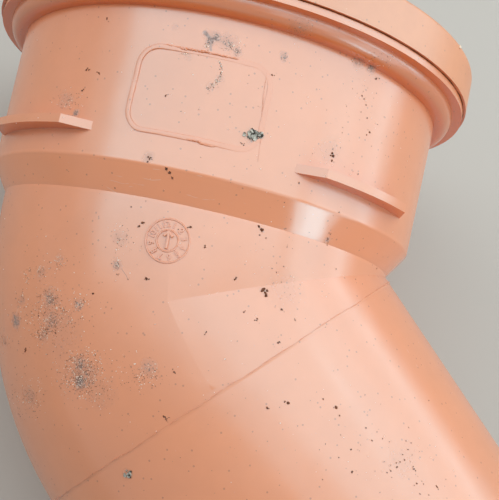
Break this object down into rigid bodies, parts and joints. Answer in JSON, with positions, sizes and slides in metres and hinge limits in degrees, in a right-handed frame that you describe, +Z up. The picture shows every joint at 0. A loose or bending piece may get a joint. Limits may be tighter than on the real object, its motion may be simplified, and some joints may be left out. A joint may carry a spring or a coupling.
{
  "type": "pipe bend",
  "caption": "45 degree drain bend for 110 mm pipe, with a ring-seal socket closed by a clip-on cap and a plain chamfered spigot.",
  "frame": {"origin": "the middle of the space that the bend takes up as it lies, on the floor", "axes": "+Z up, -Y along the spigot out of its tip, +X across the spigot to the inner side of the bend; the socket points to +X and +Y and a little up"},
  "size_m": [0.1606, 0.2056, 0.1359],
  "materials": {
    "bend": "smooth moulded orange-brown plastic, half gloss, dusty",
    "cap": "smooth moulded plastic, a little yellower than the bend",
    "seal_ring": "matt black rubber"
  },
  "bodies": {
    "root": {"bend": "bend", "cap": "cap", "seal_ring": "seal_ring"}
  },
  "joints": []
}
